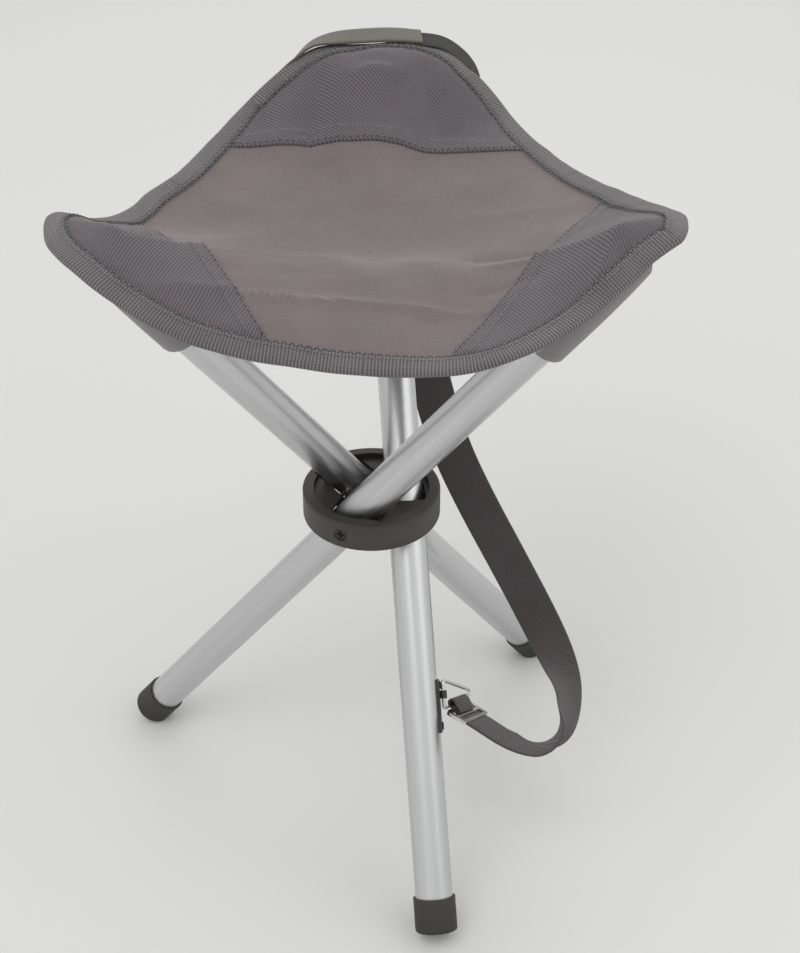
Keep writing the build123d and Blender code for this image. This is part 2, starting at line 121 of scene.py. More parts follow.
# The carrying strap's route and the direction of its width, from under the back
# corner round the right of the hub to the slider on leg a.
STRAP_ROUTE = [
    ((0.0285, 0.1675, 0.4185), (0.99, -0.02, 0.10)),
    ((0.0290, 0.1640, 0.405), (0.99, -0.02, 0.12)),
    ((0.030, 0.157, 0.388), (0.99, -0.02, 0.15)),
    ((0.031, 0.140, 0.345), (0.98, 0.0, 0.2)),
    ((0.035, 0.112, 0.297), (0.98, 0.02, 0.2)),
    ((0.0435, 0.079, 0.248), (0.97, 0.04, 0.23)),
    ((0.0545, 0.061, 0.205), (0.93, 0.12, 0.34)),
    ((0.070, 0.045, 0.171), (0.9, 0.17, 0.4)),
    ((0.090, 0.031, 0.132), (0.89, 0.18, 0.41)),
    ((0.106, 0.013, 0.102), (0.88, 0.2, 0.42)),
    ((0.116, -0.014, 0.086), (0.82, 0.4, 0.05)),
    ((0.118, -0.042, 0.0795), (0.59, 0.67, -0.45)),
    ((0.109, -0.070, 0.0775), (0.5, 0.75, -0.43)),
    ((0.091, -0.088, 0.082), (0.5, 0.74, -0.45)),
    ((0.072, -0.093, 0.0925), (0.56, 0.7, -0.44)),
    ((0.0554, -0.0818, 0.1000), (0.60, 0.67, -0.43)),
    ((0.0510, -0.0773, 0.1003), (0.60, 0.67, -0.43)),
    ((0.0460, -0.0724, 0.1006), (0.60, 0.67, -0.43)),
]
TIE_WIDTH = 0.020
# The tie strap's two webbings and the direction of their width.
TIE_LOOP = [
    ((-0.0352, 0.1655, 0.4085), (0.06, 0.85, -0.53)),
    ((-0.0303, 0.1668, 0.4130), (0.05, 0.88, -0.47)),
    ((-0.0250, 0.1682, 0.4176), (0.02, 0.92, -0.38)),
    ((-0.0191, 0.1695, 0.4228), (0.0, 0.95, -0.30)),
    ((-0.0124, 0.1708, 0.4260), (0.0, 0.98, -0.18)), ((-0.0005, 0.1710, 0.4278), (0.0, 1.0, 0.0)),
    ((0.0126, 0.1710, 0.4282), (0.0, 1.0, 0.04)), ((0.0276, 0.1710, 0.4284), (0.0, 1.0, 0.04)),
    ((0.0396, 0.1710, 0.4277), (0.0, 1.0, 0.04)), ((0.0510, 0.1705, 0.4262), (0.0, 1.0, 0.02)),
]
TIE_HOOK = [
    ((0.0400, 0.1710, 0.4258), (0.0, 1.0, 0.0)), ((0.0490, 0.1710, 0.4246), (0.05, 1.0, 0.0)),
    ((0.0590, 0.1709, 0.4234), (0.12, 0.99, 0.0)), ((0.0656, 0.1700, 0.4212), (0.22, 0.97, -0.02)),
    ((0.0722, 0.1686, 0.4166), (0.40, 0.90, -0.12)),
    ((0.0776, 0.1660, 0.4120), (0.45, 0.86, -0.22)),
    ((0.0814, 0.1638, 0.4072), (0.42, 0.84, -0.33)),
    ((0.0830, 0.1612, 0.4030), (0.40, 0.80, -0.45)),
]


def spline_points(points, steps=12):
    """Points along a smooth curve with these control points."""
    data = bpy.data.curves.new("route", "CURVE")
    data.dimensions = "3D"
    data.resolution_u = steps
    spline = data.splines.new("NURBS")
    spline.points.add(len(points) - 1)
    for place, point in zip(spline.points, points):
        place.co = (*point, 1.0)
    spline.order_u = 3
    spline.use_endpoint_u = True
    route = bpy.data.objects.new("route", data)
    bpy.context.scene.collection.objects.link(route)
    mesh = bpy.data.meshes.new_from_object(route)
    found = [v.co.copy() for v in mesh.vertices]
    bpy.data.objects.remove(route)
    bpy.data.meshes.remove(mesh)
    return found


# ---------------------------------------------------------------- mesh helpers
def link_mesh(name, points, faces, uvs=None, smooth=True):
    """A mesh object; uvs holds one pair for each point."""
    mesh = bpy.data.meshes.new(name)
    mesh.from_pydata([tuple(p) for p in points], [], faces)
    if uvs is not None:
        layer = mesh.uv_layers.new(name="weave")
        for loop in mesh.loops:
            layer.data[loop.index].uv = uvs[loop.vertex_index]
    for polygon in mesh.polygons:
        polygon.use_smooth = smooth
    piece = bpy.data.objects.new(name, mesh)
    bpy.context.scene.collection.objects.link(piece)
    return piece


def grid_faces(rows, columns, closed_rows=False, closed_columns=False):
    faces = []
    for i in range(rows if closed_rows else rows - 1):
        for j in range(columns if closed_columns else columns - 1):
            n = (i + 1) % rows
            m = (j + 1) % columns
            faces.append((i * columns + j, n * columns + j, n * columns + m, i * columns + m))
    return faces


def cloth_shell(name, points, normals, rows, columns, uvs, thick):
    """A closed thin sheet under these points, shaded by the true slope of the cloth."""
    count = rows * columns
    below = [p - n * thick for p, n in zip(points, normals)]
    top = grid_faces(rows, columns)
    faces = top + [tuple(count + k for k in reversed(face)) for face in top]
    rim = [j for j in range(columns)]
    rim += [i * columns + columns - 1 for i in range(1, rows)]
    rim += [(rows - 1) * columns + j for j in reversed(range(columns - 1))]
    rim += [i * columns for i in reversed(range(1, rows - 1))]
    for k, here in enumerate(rim):
        ahead = rim[(k + 1) % len(rim)]
        faces.append((here, ahead, count + ahead, count + here))
    piece = link_mesh(name, list(points) + below, faces, list(uvs) + list(uvs))
    shading = [tuple(n) for n in normals] + [tuple(-n) for n in normals]
    piece.data.normals_split_custom_set_from_vertices(shading)
    return piece


def thicken(piece, thick, offset):
    solid = piece.modifiers.new("thickness", "SOLIDIFY")
    solid.thickness = thick
    solid.offset = offset
    return piece


def use(piece, material):
    piece.data.materials.clear()
    piece.data.materials.append(material)
    return piece


def ribbon(name, centres, widths, width, thick, ends=True):
    """A flat webbing with rounded edges through these centres."""
    half = width / 2
    lift = thick / 2
    edge = min(0.0012, half * 0.2)
    section = [(-half, 0), (-half + edge * 0.4, lift * 0.8), (-half + edge * 1.4, lift),
               (-half * 0.5, lift * 0.92), (0, lift * 0.9), (half * 0.5, lift * 0.92),
               (half - edge * 1.4, lift), (half - edge * 0.4, lift * 0.8), (half, 0),
               (half - edge * 0.4, -lift * 0.8), (half - edge * 1.4, -lift),
               (0, -lift * 0.9), (-half + edge * 1.4, -lift), (-half + edge * 0.4, -lift * 0.8)]
    points = []
    uvs = []
    travelled = 0.0
    for i, centre in enumerate(centres):
        before = centres[max(i - 1, 0)]
        after = centres[min(i + 1, len(centres) - 1)]
        along = (after - before).normalized()
        across = (widths[i] - along * widths[i].dot(along)).normalized()
        normal = along.cross(across)
        if i:
            travelled += (centre - centres[i - 1]).length
        for x, y in section:
            points.append(centre + across * x + normal * y)
            uvs.append((travelled, x))
    count = len(section)
    faces = grid_faces(len(centres), count, closed_columns=True)
    if ends:
        faces.append(tuple(range(count)))
        last = (len(centres) - 1) * count
        faces.append(tuple(last + j for j in reversed(range(count))))
    return link_mesh(name, points, faces, uvs)


def stitches(name, spots, long, radius):
    """Short rounded threads; each spot is a middle, a direction and an upward normal."""
    points = []
    faces = []
    rings = [(-0.5, 0.25, -0.6), (-0.4, 0.8, -0.1), (0.0, 1.0, 0.25), (0.4, 0.8, -0.1), (0.5, 0.25, -0.6)]
    sides = 6
    for middle, along, normal in spots:
        side = along.cross(normal).normalized()
        first = len(points)
        for at, size, high in rings:
            centre = middle + along * (at * long) + normal * (high * radius)
            for k in range(sides):
                turn = 2 * math.pi * k / sides
                points.append(centre + (side * math.cos(turn) + normal * math.sin(turn)) * radius * size)
        for i in range(len(rings) - 1):
            for k in range(sides):
                m = (k + 1) % sides
                low = first + i * sides
                faces.append((low + k, low + m, low + sides + m, low + sides + k))
        faces.append(tuple(first + k for k in range(sides)))
        last = first + (len(rings) - 1) * sides
        faces.append(tuple(last + k for k in reversed(range(sides))))
    return link_mesh(name, points, faces)


# ---------------------------------------------------------------- materials
def rgb(red, green, blue):
    """A colour given as it looks on a screen, 0 to 255."""
    found = []
    for value in (red, green, blue):
        share = value / 255
        found.append(share / 12.92 if share <= 0.04045 else ((share + 0.055) / 1.055) ** 2.4)
    return (*found, 1.0)


class Look:
    """A material and short ways to add its nodes."""

    def __init__(self, name):
        self.material = bpy.data.materials.new(name)
        self.material.use_nodes = True
        self.nodes = self.material.node_tree.nodes
        self.links = self.material.node_tree.links
        self.shader = self.nodes["Principled BSDF"]

    def set(self, **values):
        names = {"rough": "Roughness", "metal": "Metallic", "colour": "Base Color", "sheen": "Sheen Weight",
                 "sheen_rough": "Sheen Roughness", "specular": "Specular IOR Level", "coat": "Coat Weight",
                 "coat_rough": "Coat Roughness", "anisotropic": "Anisotropic"}
        for key, value in values.items():
            self.shader.inputs[names[key]].default_value = value

    def node(self, kind, **settings):
        made = self.nodes.new(kind)
        for key, value in settings.items():
            setattr(made, key, value)
        return made

    def feed(self, value, socket):
        if isinstance(value, bpy.types.NodeSocket):
            self.links.new(value, socket)
        else:
            socket.default_value = value

    def math(self, operation, a, b=0.0, clamp=False):
        made = self.node("ShaderNodeMath", operation=operation, use_clamp=clamp)
        self.feed(a, made.inputs[0])
        self.feed(b, made.inputs[1])
        return made.outputs[0]

    def place(self, scale=(1, 1, 1), turn=(0, 0, 0), weave=False):
        """Object coordinates, or the weave's own ones, scaled and turned."""
        if weave:
            source = self.node("ShaderNodeUVMap", uv_map="weave").outputs["UV"]
        else:
            source = self.node("ShaderNodeTexCoord").outputs["Object"]
        mapping = self.node("ShaderNodeMapping")
        mapping.inputs["Scale"].default_value = scale
        mapping.inputs["Rotation"].default_value = [math.radians(t) for t in turn]
        self.links.new(source, mapping.inputs["Vector"])
        return mapping.outputs["Vector"]

    def noise(self, vector, scale, detail=3.0, rough=0.5):
        made = self.node("ShaderNodeTexNoise")
        made.inputs["Scale"].default_value = scale
        made.inputs["Detail"].default_value = detail
        made.inputs["Roughness"].default_value = rough
        self.links.new(vector, made.inputs["Vector"])
        return made.outputs["Fac"]

    def stripes(self, vector, pitch, warp=0.0, axis="X"):
        """A sine wave across the axis, once each pitch, from 0 to 1."""
        made = self.node("ShaderNodeTexWave", wave_type="BANDS", bands_direction=axis, wave_profile="SIN")
        made.inputs["Scale"].default_value = math.pi / 10 / pitch
        made.inputs["Distortion"].default_value = warp
        made.inputs["Detail"].default_value = 1.0
        made.inputs["Detail Scale"].default_value = 0.6
        self.links.new(vector, made.inputs["Vector"])
        return made.outputs["Fac"]

    def blend(self, share, first, second):
        """A mix of two colours."""
        made = self.node("ShaderNodeMix", data_type="RGBA")
        self.feed(share, made.inputs["Factor"])
        self.feed(first, made.inputs["A"])
        self.feed(second, made.inputs["B"])
        return made.outputs["Result"]

    def spread(self, value, low, high):
        """The value's 0 to 1 stretched to low to high."""
        made = self.node("ShaderNodeMapRange")
        self.links.new(value, made.inputs["Value"])
        made.inputs["To Min"].default_value = low
        made.inputs["To Max"].default_value = high
        return made.outputs["Result"]

    def bump(self, height, distance, strength=1.0, below=None):
        made = self.node("ShaderNodeBump")
        made.inputs["Strength"].default_value = strength
        made.inputs["Distance"].default_value = distance
        self.links.new(height, made.inputs["Height"])
        if below is not None:
            self.links.new(below, made.inputs["Normal"])
        return made.outputs["Normal"]

    def finish(self, colour=None, rough=None, normal=None):
        if colour is not None:
            self.links.new(colour, self.shader.inputs["Base Color"])
        if rough is not None:
            self.links.new(rough, self.shader.inputs["Roughness"])
        if normal is not None:
            self.links.new(normal, self.shader.inputs["Normal"])
        return self.material


def twill(name, light, dark, pitch, depth, slant, contrast):
    """Woven polyester: a diagonal twill over fine threads, with soft patches."""
    look = Look(name)
    weave = look.place(turn=(0, 0, slant), weave=True)
    threads = look.place(weave=True)
    ribs = look.stripes(weave, pitch, warp=0.6)
    warp_thread = look.stripes(threads, pitch * 0.55)
    weft_thread = look.stripes(threads, pitch * 0.55, axis="Y")
    fine = look.math("MULTIPLY", warp_thread, weft_thread)
    patch = look.noise(look.place(), 22.0, 5.0, 0.65)
    speck = look.noise(look.place(), 650.0, 3.0, 0.75)
    share = look.math("MULTIPLY", ribs, contrast)
    share = look.math("ADD", share, look.math("MULTIPLY", patch, 0.55))
    share = look.math("ADD", share, look.math("MULTIPLY", speck, 0.35), clamp=True)
    colour = look.blend(share, dark, light)
    height = look.math("ADD", look.math("MULTIPLY", ribs, 1.0), look.math("MULTIPLY", fine, 0.4))
    normal = look.bump(height, depth, 0.9)
    look.set(sheen=0.25, sheen_rough=0.45, specular=0.25)
    return look.finish(colour, look.spread(patch, 0.72, 0.9), normal)


def ribbed_tape(name, light, dark, pitch, depth, wavy=0.5):
    """A narrow woven tape with ribs across it."""
    look = Look(name)
    along = look.place(weave=True)
    ribs = look.stripes(along, pitch, warp=wavy)
    lengthwise = look.stripes(along, pitch * 0.9, axis="Y")
    cells = look.math("MULTIPLY", ribs, look.spread(lengthwise, 0.55, 1.0))
    patch = look.noise(look.place(), 40.0, 3.0)
    speck = look.noise(look.place(), 1500.0, 2.0, 0.7)
    share = look.math("ADD", look.math("MULTIPLY", cells, 0.6), look.math("MULTIPLY", patch, 0.25))
    share = look.math("ADD", share, look.math("MULTIPLY", speck, 0.3), clamp=True)
    colour = look.blend(share, dark, light)
    normal = look.bump(cells, depth, 1.0)
    look.set(sheen=0.3, sheen_rough=0.5, specular=0.2)
    return look.finish(colour, look.spread(patch, 0.75, 0.92), normal)


def hook_tape_look():
    """The rough side of a touch tape: rows of tiny hooks."""
    look = Look("hook_tape")
    along = look.place(weave=True)
    rows = look.stripes(along, 0.0011)
    columns = look.stripes(along, 0.0013, axis="Y")
    hooks = look.math("MULTIPLY", rows, columns)
    speck = look.noise(look.place(), 1400.0, 3.0, 0.8)
    height = look.math("ADD", hooks, speck)
    colour = look.blend(look.math("MULTIPLY", height, 0.5, clamp=True), rgb(46, 46, 46), rgb(98, 97, 92))
    look.set(specular=0.3)
    return look.finish(colour, look.spread(speck, 0.7, 0.95), look.bump(height, 0.0005, 1.0))


def satin_tube(letter):
    """Drawn aluminium: fine lines along the tube, faint rubs and dull spots."""
    look = Look("satin_tube_" + letter)
    source = look.node("ShaderNodeTexCoord").outputs["Object"]
    direction = leg_direction(letter)
    along = look.node("ShaderNodeVectorMath", operation="DOT_PRODUCT")
    look.links.new(source, along.inputs[0])
    along.inputs[1].default_value = direction
    pull = look.node("ShaderNodeVectorMath", operation="SCALE")
    pull.inputs[0].default_value = direction
    look.links.new(look.math("MULTIPLY", along.outputs["Value"], -0.985), pull.inputs["Scale"])
    drawn = look.node("ShaderNodeVectorMath", operation="ADD")
    look.links.new(source, drawn.inputs[0])
    look.links.new(pull.outputs[0], drawn.inputs[1])
    lines = look.noise(drawn.outputs[0], 1100.0, 4.0, 0.65)
    broad = look.noise(drawn.outputs[0], 160.0, 2.0)
    cloud = look.noise(look.place(), 30.0, 4.0)
    tone = look.math("ADD", look.math("MULTIPLY", lines, 0.35), look.math("MULTIPLY", broad, 0.65))
    colour = look.blend(tone, rgb(182, 183, 184), rgb(226, 226, 226))
    rough = look.math("ADD", look.spread(cloud, 0.24, 0.36), look.math("MULTIPLY", lines, 0.08))
    look.set(metal=1.0)
    return look.finish(colour, rough, look.bump(lines, 0.00004, 0.5))


def moulded(name, light, dark, grain, depth, rough_low, rough_high, specular=0.45):
    """Moulded plastic or rubber with a fine grain and a painted highlight that lightens convex edges and rims.
    """
    look = Look(name)
    fine = look.noise(look.place(), grain, 3.0, 0.6)
    broad = look.noise(look.place(), 45.0, 4.0, 0.6)
    geometry = look.node("ShaderNodeNewGeometry")
    # painted highlight: convex edges and rims, found by pointiness, are lightened as if catching the light
    edge_highlight = look.math("MULTIPLY", look.math("SUBTRACT", geometry.outputs["Pointiness"], 0.51), 6.0, clamp=True)
    share = look.math("ADD", look.math("MULTIPLY", broad, 0.5), look.math("MULTIPLY", fine, 0.25))
    share = look.math("ADD", share, edge_highlight, clamp=True)
    colour = look.blend(share, dark, light)
    look.set(specular=specular)
    return look.finish(colour, look.spread(broad, rough_low, rough_high), look.bump(fine, depth, 0.7))


def metal_look(name, light, dark, rough_low, rough_high, scale, metal=1.0):
    look = Look(name)
    broad = look.noise(look.place(), scale, 4.0, 0.6)
    fine = look.noise(look.place(), scale * 30, 2.0, 0.6)
    colour = look.blend(look.math("MULTIPLY", broad, 1.0), dark, light)
    look.set(metal=metal)
    return look.finish(colour, look.spread(fine, rough_low, rough_high), look.bump(fine, 0.00003, 0.4))


def thread_look(name, light, dark):
    """Twisted sewing thread."""
    look = Look(name)
    twist = look.noise(look.place(), 1800.0, 2.0, 0.6)
    colour = look.blend(twist, dark, light)
    look.set(sheen=0.3, specular=0.3)
    return look.finish(colour, look.spread(twist, 0.6, 0.85), look.bump(twist, 0.0002, 0.8))


def floor_look():
    look = Look("floor_paper")
    soft = look.noise(look.place(), 3.0, 2.0)
    colour = look.blend(soft, rgb(219, 219, 218), rgb(221, 221, 220))
    look.set(rough=0.9, specular=0.1)
    return look.finish(colour)


SEAT_FABRIC = twill("seat_fabric", rgb(134, 124, 122), rgb(82, 74, 73), 0.0013, 0.00016, 38, 0.26)
CORNER_SLANTS = {"a": 38, "b": -55, "c": 52}        # of the twill, against the corner's direction
CORNER_FABRICS = {}
for letter, slant in CORNER_SLANTS.items():
    CORNER_FABRICS[letter] = twill("corner_fabric_" + letter, rgb(113, 106, 110), rgb(42, 38, 41),
                                   0.0015, 0.00035, slant, 0.55)
POCKET_FABRIC = twill("pocket_fabric", rgb(146, 142, 143), rgb(110, 106, 108), 0.0009, 0.00006, 38, 0.15)
TAPE = ribbed_tape("binding_tape", rgb(141, 135, 138), rgb(32, 29, 31), 0.0017, 0.0007)
LOOP_TAPE = ribbed_tape("tie_loop_tape", rgb(116, 114, 102), rgb(66, 64, 57), 0.0011, 0.0003, 1.5)
HOOK_TAPE = hook_tape_look()
WEBBING = ribbed_tape("strap_webbing", rgb(92, 86, 87), rgb(44, 40, 41), 0.0014, 0.0004, 0.3)
HUB_PLASTIC = moulded("hub_plastic", rgb(68, 62, 61), rgb(42, 38, 37), 900.0, 0.00008, 0.42, 0.58)
FOOT_RUBBER = moulded("foot_rubber", rgb(63, 61, 60), rgb(30, 29, 29), 700.0, 0.0001, 0.5, 0.75, 0.35)
PLUG_PLASTIC = moulded("plug_plastic", rgb(60, 59, 58), rgb(40, 39, 39), 800.0, 0.0001, 0.5, 0.7)
BLACK_SCREW = metal_look("black_screw", rgb(74, 73, 72), rgb(34, 33, 33), 0.3, 0.5, 220.0, 0.6)
BRIGHT_WIRE = metal_look("bright_wire", rgb(226, 226, 224), rgb(186, 186, 186), 0.14, 0.3, 260.0)
BRACKET_METAL = metal_look("bracket_metal", rgb(72, 70, 69), rgb(40, 39, 39), 0.35, 0.6, 180.0, 0.5)
DARK_THREAD = thread_look("dark_thread", rgb(72, 70, 70), rgb(38, 37, 37))
LIGHT_THREAD = thread_look("light_thread", rgb(142, 137, 134), rgb(100, 96, 93))
FLOOR = floor_look()

# ---------------------------------------------------------------- carrying strap
HALF_ACROSS = WEBBING_WIDTH / 2


def make_carry_strap():
    middle = [Vector(point) for point, _ in STRAP_ROUTE]
    edge = [Vector(point) + Vector(across).normalized() * HALF_ACROSS for point, across in STRAP_ROUTE]
    centres = spline_points(middle)
    widths = [outer - inner for outer, inner in zip(spline_points(edge), centres)]
    strap = ribbon("carry_strap_webbing", centres, widths, WEBBING_WIDTH, WEBBING_THICK)
    use(strap, WEBBING)
    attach(strap, "leg_a")
    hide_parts("carry_strap")
    return strap, centres


carry_strap, strap_centres = make_carry_strap()

# ---------------------------------------------------------------- the seat's shape
# The outline, from the back corner anticlockwise: left corner, front edge, right corner.
OUTLINE = [
    (0.0224, 0.1690, 0.4225), (0.0104, 0.1690, 0.4228), (-0.0016, 0.1680, 0.4235),
    (-0.0139, 0.1660, 0.4232), (-0.0251, 0.1625, 0.4190), (-0.0345, 0.1580, 0.4140),
    (-0.0413, 0.1560, 0.4090), (-0.0509, 0.1516, 0.4025), (-0.0604, 0.1460, 0.3958),
    (-0.0795, 0.1212, 0.3880), (-0.0979, 0.0906, 0.3835), (-0.1151, 0.0685, 0.3825),
    (-0.1234, 0.0510, 0.3835), (-0.1311, 0.0324, 0.3870), (-0.1380, 0.0165, 0.3925),
    (-0.1455, 0.0047, 0.3980), (-0.1518, -0.0061, 0.4040), (-0.1560, -0.0148, 0.4105),
    (-0.1590, -0.0205, 0.4145), (-0.1620, -0.0260, 0.4170), (-0.1643, -0.0330, 0.4185),
    (-0.1654, -0.0420, 0.4185), (-0.1645, -0.0530, 0.4180), (-0.1619, -0.0619, 0.4170),
    (-0.1569, -0.0715, 0.4155), (-0.1508, -0.0793, 0.4135), (-0.1425, -0.0878, 0.4095),
    (-0.1313, -0.0969, 0.4040), (-0.1120, -0.1105, 0.3970), (-0.0967, -0.1170, 0.3915),
    (-0.0729, -0.1238, 0.3860), (-0.0534, -0.1267, 0.3825), (-0.0335, -0.1308, 0.3800),
    (-0.0037, -0.1358, 0.3785), (0.0258, -0.1414, 0.3810), (0.0459, -0.1423, 0.3855),
    (0.0673, -0.1370, 0.3905), (0.0895, -0.1267, 0.3970), (0.1128, -0.1124, 0.4060),
    (0.1275, -0.1030, 0.4135), (0.1371, -0.0984, 0.4180), (0.1430, -0.0955, 0.4205),
    (0.1471, -0.0869, 0.4215), (0.1496, -0.0740, 0.4205), (0.1488, -0.0618, 0.4175),
    (0.1458, -0.0439, 0.4120), (0.1424, -0.0265, 0.4070), (0.1396, -0.0073, 0.4010),
    (0.1356, 0.0120, 0.3960), (0.1270, 0.0440, 0.3890), (0.1170, 0.0820, 0.3845),
    (0.1063, 0.1100, 0.3865), (0.0999, 0.1270, 0.3900), (0.0939, 0.1375, 0.3960),
    (0.0880, 0.1454, 0.4020), (0.0812, 0.1520, 0.4075), (0.0766, 0.1555, 0.4100),
    (0.0716, 0.1600, 0.4145), (0.0643, 0.1645, 0.4195), (0.0556, 0.1675, 0.4215),
    (0.0435, 0.1692, 0.4230),
]
# Inside the outline: the taut lines to the corners, the hanging front, the hems and the dish.
INSIDE = [
    (-0.1516, -0.0420, 0.4200), (-0.1402, -0.0533, 0.4205), (-0.1314, -0.0593, 0.4200),
    (-0.1258, -0.0587, 0.4180), (-0.1140, -0.0566, 0.4140), (-0.1021, -0.0545, 0.4100),
    (-0.0900, -0.0520, 0.4060), (-0.0667, -0.0459, 0.4000), (-0.0240, -0.0413, 0.3915),
    (0.0220, -0.0440, 0.3885), (0.1359, -0.0779, 0.4215), (0.1223, -0.0839, 0.4215),
    (0.1124, -0.0881, 0.4210), (0.1050, -0.0828, 0.4155), (0.0968, -0.0766, 0.4090),
    (0.0862, -0.0685, 0.4010), (0.0732, -0.0584, 0.3920), (-0.1151, -0.0920, 0.4050),
    (-0.1241, -0.0860, 0.4090), (-0.1356, -0.0780, 0.4140), (-0.1449, -0.0670, 0.4180),
    (-0.0960, -0.0880, 0.4038), (-0.0698, -0.0860, 0.3977), (-0.0430, -0.0820, 0.3931),
    (-0.0137, -0.0840, 0.3884), (0.0155, -0.0880, 0.3853), (0.0445, -0.0940, 0.3833),
    (-0.0740, -0.1080, 0.3935), (-0.0350, -0.1100, 0.3870), (0.0060, -0.1130, 0.3828),
    (0.0400, -0.1180, 0.3835), (0.0806, -0.1070, 0.3975), (0.0624, -0.1040, 0.3905),
    (0.1220, -0.0955, 0.4160), (0.1054, -0.1030, 0.4095), (-0.1350, -0.0158, 0.4030),
    (-0.1230, -0.0016, 0.3940), (-0.1104, -0.0021, 0.3900), (-0.0975, -0.0043, 0.3880),
    (-0.1280, -0.0340, 0.4080), (-0.1060, -0.0320, 0.3960), (-0.0800, -0.0260, 0.3890),
    (-0.1180, 0.0300, 0.3805), (-0.0920, 0.0200, 0.3775), (-0.0600, 0.0100, 0.3760),
    (-0.0450, -0.0200, 0.3815), (-0.0960, 0.0620, 0.3765), (-0.0600, 0.0700, 0.3760),
    (-0.0640, 0.1100, 0.3825), (-0.0112, 0.1050, 0.3855), (0.0160, 0.1050, 0.3885),
    (0.0440, 0.1040, 0.3835), (0.0940, 0.0990, 0.3840), (0.0140, 0.0740, 0.3780),
    (0.0000, 0.0300, 0.3730), (0.0000, 0.0000, 0.3730), (0.0000, -0.0220, 0.3790),
    (0.0340, -0.0200, 0.3785), (0.0600, -0.0280, 0.3825), (0.0600, 0.0600, 0.3770),
    (0.0980, 0.0500, 0.3805), (0.0640, 0.0100, 0.3760), (0.1020, 0.0140, 0.3835),
    (0.0920, -0.0320, 0.3895), (0.1317, -0.0328, 0.4040), (0.1285, -0.0081, 0.3950),
    (0.1199, 0.0008, 0.3905), (0.1056, -0.0269, 0.3940), (0.1146, -0.0437, 0.4030),
    (0.0213, 0.1560, 0.4250), (-0.0030, 0.1555, 0.4225), (0.0450, 0.1560, 0.4230),
    (0.0180, 0.1280, 0.4040), (-0.0180, 0.1320, 0.4030), (0.0540, 0.1310, 0.4020),
    (-0.0280, 0.1500, 0.4130), (0.0680, 0.1480, 0.4120),
]
TENT_GAP = 0.0208           # fabric above a leg's axis where it lies on the tube
TENT_TOP = 0.4203
TENT_END = 0.1425           # along the lean, where a tube ends and the fabric drops
TENT_DROP = 0.62
TENT_ROUND = 0.012
TENT_SLOPE = 0.8
TENT_FROM = 0.05            # along the lean, where a tube first nears the fabric
TENT_BLEND = 0.004
PIVOT_SHIFT = 0.002         # pivot from the radial line, along the lean
# Creases: points in plan, height of the ridge (below 0 for a groove), width.
CREASES = [
    ([(-0.150, -0.044), (-0.131, -0.058), (-0.114, -0.057), (-0.090, -0.052), (-0.058, -0.044),
      (-0.020, -0.041)], 0.0036, 0.0048),
    ([(0.134, -0.079), (0.112, -0.088), (0.097, -0.077), (0.073, -0.058), (0.052, -0.050)], 0.0040, 0.0048),
    ([(-0.114, -0.090), (-0.096, -0.088), (-0.060, -0.085), (-0.014, -0.084), (0.050, -0.094)], 0.0030, 0.0036),
    ([(0.113, -0.090), (0.119, -0.095), (0.126, -0.097)], 0.0022, 0.0030),
    ([(-0.012, 0.150), (-0.018, 0.130), (-0.024, 0.108)], -0.0042, 0.0055),
    ([(0.046, 0.150), (0.052, 0.128), (0.054, 0.108)], -0.0042, 0.0055),
    ([(0.000, 0.152), (-0.004, 0.130), (-0.006, 0.104)], 0.0018, 0.0060),
    ([(0.034, 0.152), (0.034, 0.128), (0.030, 0.102)], 0.0020, 0.0060),
    ([(-0.034, 0.140), (-0.038, 0.126), (-0.042, 0.112)], 0.0016, 0.0060),
    ([(-0.106, -0.030), (-0.090, -0.028), (-0.072, -0.026)], -0.0050, 0.0070),
    ([(-0.132, -0.020), (-0.112, -0.008), (-0.090, 0.004)], -0.0022, 0.0060),
    ([(-0.092, 0.006), (-0.070, 0.018), (-0.044, 0.030)], 0.0014, 0.0100),
    ([(-0.082, 0.068), (-0.060, 0.056), (-0.034, 0.050)], 0.0012, 0.0100),
    ([(0.016, 0.104), (0.012, 0.082), (0.004, 0.056)], 0.0018, 0.0090),
    ([(-0.012, 0.102), (-0.014, 0.082), (-0.016, 0.064)], -0.0016, 0.0070),
    ([(0.044, 0.102), (0.036, 0.080), (0.026, 0.060)], -0.0016, 0.0080),
    ([(0.124, 0.012), (0.088, 0.024), (0.056, 0.030)], 0.0014, 0.0100),
    ([(0.100, 0.072), (0.078, 0.066), (0.052, 0.064)], 0.0010, 0.0100),
    ([(0.092, -0.046), (0.070, -0.038), (0.046, -0.034)], -0.0034, 0.0080),
    ([(0.080, -0.082), (0.062, -0.078), (0.042, -0.076)], -0.0026, 0.0070),
    ([(-0.092, -0.070), (-0.066, -0.066), (-0.036, -0.062)], -0.0020, 0.0080),
    ([(-0.020, -0.124), (0.000, -0.108), (0.010, -0.094)], 0.0014, 0.0070),
]
TAPE_WIDTH = 0.0118
# A corner panel's seam, along its corner's direction.
HEM_AT = {"a": 0.1065, "b": 0.0975, "c": 0.1000}
HEM_WIDE = 0.0095
FABRIC_THICK = 0.0009


def catmull(points, steps):
    """A closed smooth curve through the points."""
    found = []
    count = len(points)
    for i in range(count):
        p0, p1, p2, p3 = (np.array(points[(i + k - 1) % count]) for k in range(4))
        for step in range(steps):
            t = step / steps
            found.append(0.5 * (2 * p1 + (p2 - p0) * t + (2 * p0 - 5 * p1 + 4 * p2 - p3) * t ** 2
                                + (3 * p1 - p0 - 3 * p2 + p3) * t ** 3))
    return np.array(found)


EDGE_LINE = catmull(OUTLINE, 12)
EDGE_ANGLES = np.unwrap(np.arctan2(EDGE_LINE[:, 1], EDGE_LINE[:, 0]))


